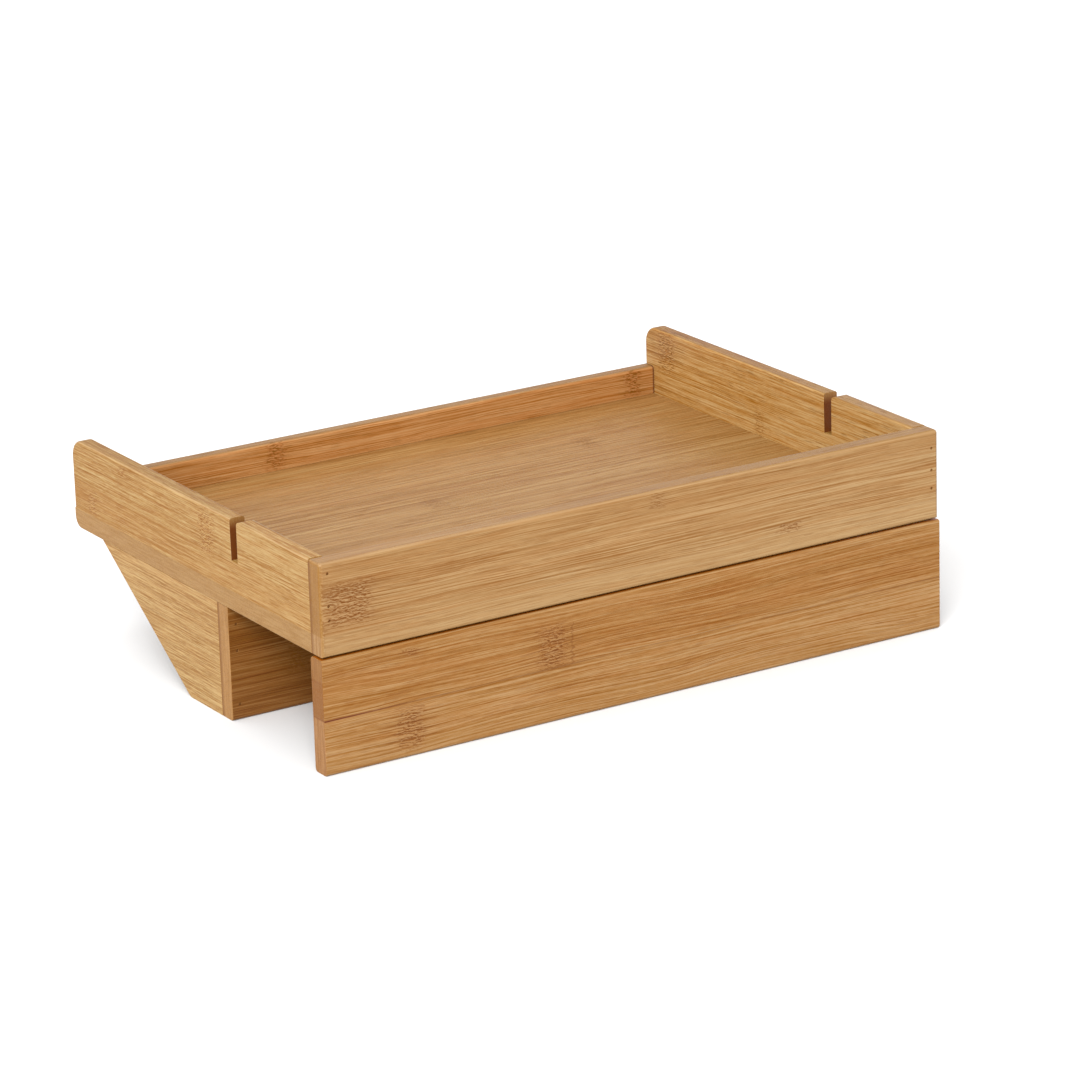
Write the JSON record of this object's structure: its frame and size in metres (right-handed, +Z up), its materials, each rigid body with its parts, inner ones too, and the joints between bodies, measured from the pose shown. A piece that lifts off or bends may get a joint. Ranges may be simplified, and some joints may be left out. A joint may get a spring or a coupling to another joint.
{
  "type": "clip-on bedside tray shelf",
  "caption": "Bamboo bedside tray with raised sides, low back and side slots that hooks over a bed rail, gripped by a sliding jaw and knob screws.",
  "frame": {"origin": "middle of the footprint, on the surface that the clamp boards and brackets stand on", "axes": "+X across the width, to the right for someone facing the front panel; +Y from the front panel to the open back; +Z up"},
  "size_m": [0.3818, 0.2726, 0.1125],
  "materials": {
    "bamboo_tray": "satin lacquered laminated bamboo, light caramel, strips about 20 mm wide",
    "bamboo_clamp": "satin lacquered laminated bamboo, a warmer and browner caramel",
    "nail_steel": "dull nail heads set just below the surface",
    "zinc_steel": "bright zinc plated",
    "insert_brass": "turned",
    "knob_plastic": "fine grained black moulding"
  },
  "bodies": {
    "tray": {"tray_floor": "bamboo_tray", "left_side_panel": "bamboo_tray", "right_side_panel": "bamboo_tray", "front_panel": "bamboo_tray", "back_board": "bamboo_tray", "fixed_clamp_board": "bamboo_clamp", "left_bracket": "bamboo_tray", "right_bracket": "bamboo_tray", "front_panel_nails": "nail_steel", "side_panel_nails": "nail_steel", "back_board_nails": "nail_steel", "clamp_board_nails": "nail_steel", "clamp_board_top_nails": "nail_steel", "bracket_nails": "nail_steel", "threaded_inserts": "insert_brass"},
    "jaw": {"jaw_board": "bamboo_clamp", "left_slide_arm": "bamboo_tray", "right_slide_arm": "bamboo_tray", "arm_dowels": "bamboo_tray"},
    "left_clamp_washer": {"left_washer": "zinc_steel"},
    "left_knob": {"left_knob_stud": "zinc_steel", "left_knob_grip": "knob_plastic"},
    "right_clamp_washer": {"right_washer": "zinc_steel"},
    "right_knob": {"right_knob_stud": "zinc_steel", "right_knob_grip": "knob_plastic"}
  },
  "joints": [
    {"name": "jaw_slide", "type": "slide", "parent": "tray", "child": "jaw", "axis": [0, 1, 0], "range_m": [0, 0.0735]},
    {"name": "left_knob_travel", "type": "slide", "parent": "tray", "child": "left_clamp_washer", "axis": [0, 0, -1], "range_m": [0, 0.002]},
    {"name": "left_knob_turn", "type": "hinge", "parent": "left_clamp_washer", "child": "left_knob", "pos_m": [-0.095, 0.00025, 0.04], "axis": [0, 0, -1], "range_deg": [0, 720]},
    {"name": "right_knob_travel", "type": "slide", "parent": "tray", "child": "right_clamp_washer", "axis": [0, 0, -1], "range_m": [0, 0.002]},
    {"name": "right_knob_turn", "type": "hinge", "parent": "right_clamp_washer", "child": "right_knob", "pos_m": [0.095, 0.00025, 0.04], "axis": [0, 0, -1], "range_deg": [0, 720]}
  ],
  "couplings": [
    {"joint": "left_knob_turn", "follows": "left_knob_travel", "rad_per_m": 6283.2},
    {"joint": "right_knob_turn", "follows": "right_knob_travel", "rad_per_m": 6283.2}
  ]
}
